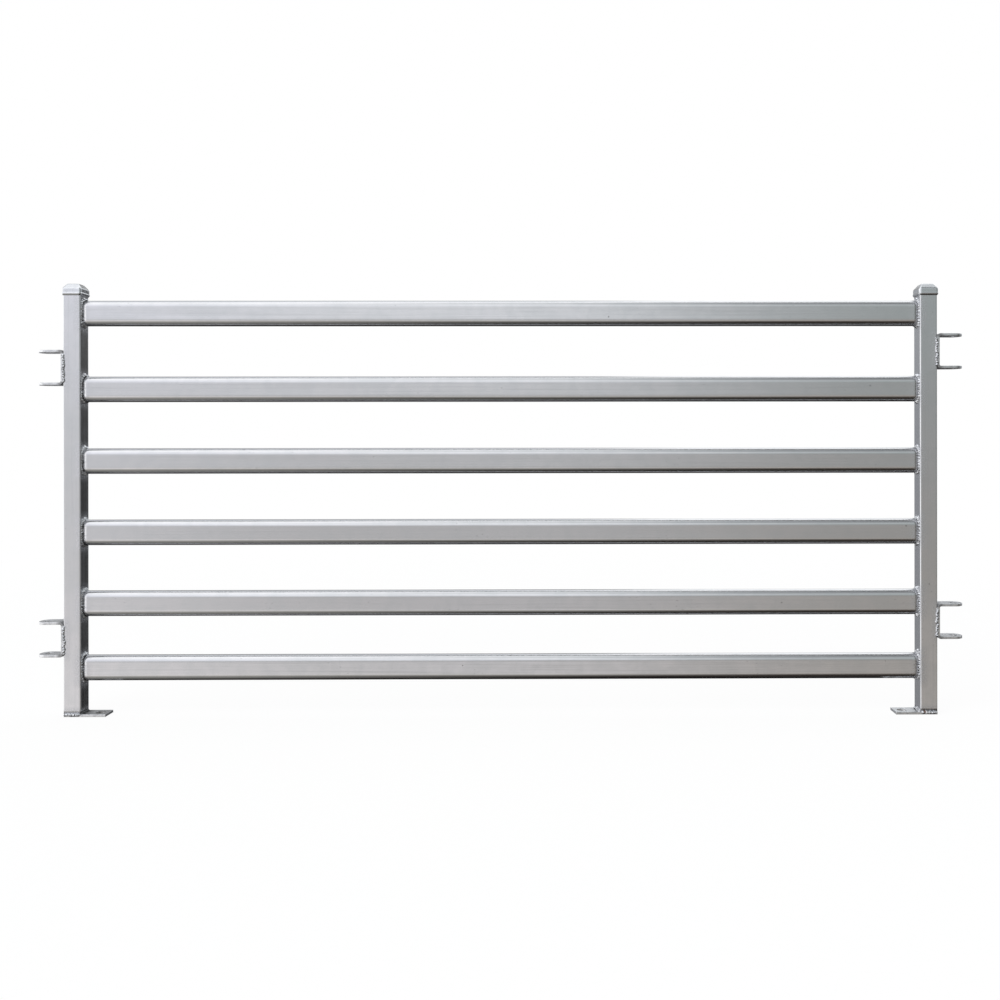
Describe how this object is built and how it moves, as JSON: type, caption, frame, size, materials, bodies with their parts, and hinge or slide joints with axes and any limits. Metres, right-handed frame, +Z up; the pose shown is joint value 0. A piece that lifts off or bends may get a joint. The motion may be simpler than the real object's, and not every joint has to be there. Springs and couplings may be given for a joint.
{
  "type": "livestock yard panel",
  "caption": "Welded galvanised steel yard panel for sheep: square posts with pressed caps, oval rails, U-shaped pin lugs at both ends and foot plates with ground holes.",
  "frame": {"origin": "on the ground, midway between the posts and midway through their depth", "axes": "+X along the rails, to the right seen from the front; -Y is the front; +Z up"},
  "size_m": [2.158, 0.047, 1.005],
  "materials": {
    "post_tube": "galvanised, satin",
    "rail_tube": "galvanised, satin, drawn lines along the tube",
    "pressed_cap": "zinc plated, smooth",
    "flat_bar": "hot-dip galvanised, dull",
    "weld_bead": "cold zinc spray over rippled weld metal"
  },
  "bodies": {
    "root": {"post_left": "post_tube", "post_right": "post_tube", "cap_left": "pressed_cap", "cap_right": "pressed_cap", "rail_1": "rail_tube", "rail_2": "rail_tube", "rail_3": "rail_tube", "rail_4": "rail_tube", "rail_5": "rail_tube", "rail_6": "rail_tube", "lug_left_upper": "flat_bar", "lug_left_lower": "flat_bar", "lug_right_upper": "flat_bar", "lug_right_lower": "flat_bar", "foot_left": "flat_bar", "foot_right": "flat_bar", "weld_rail_1_left": "weld_bead", "weld_rail_1_right": "weld_bead", "weld_rail_2_left": "weld_bead", "weld_rail_2_right": "weld_bead", "weld_rail_3_left": "weld_bead", "weld_rail_3_right": "weld_bead", "weld_rail_4_left": "weld_bead", "weld_rail_4_right": "weld_bead", "weld_rail_5_left": "weld_bead", "weld_rail_5_right": "weld_bead", "weld_rail_6_left": "weld_bead", "weld_rail_6_right": "weld_bead", "weld_lug_left_upper": "weld_bead", "weld_lug_left_lower": "weld_bead", "weld_lug_right_upper": "weld_bead", "weld_lug_right_lower": "weld_bead", "weld_foot_left": "weld_bead", "weld_foot_right": "weld_bead"}
  },
  "joints": []
}
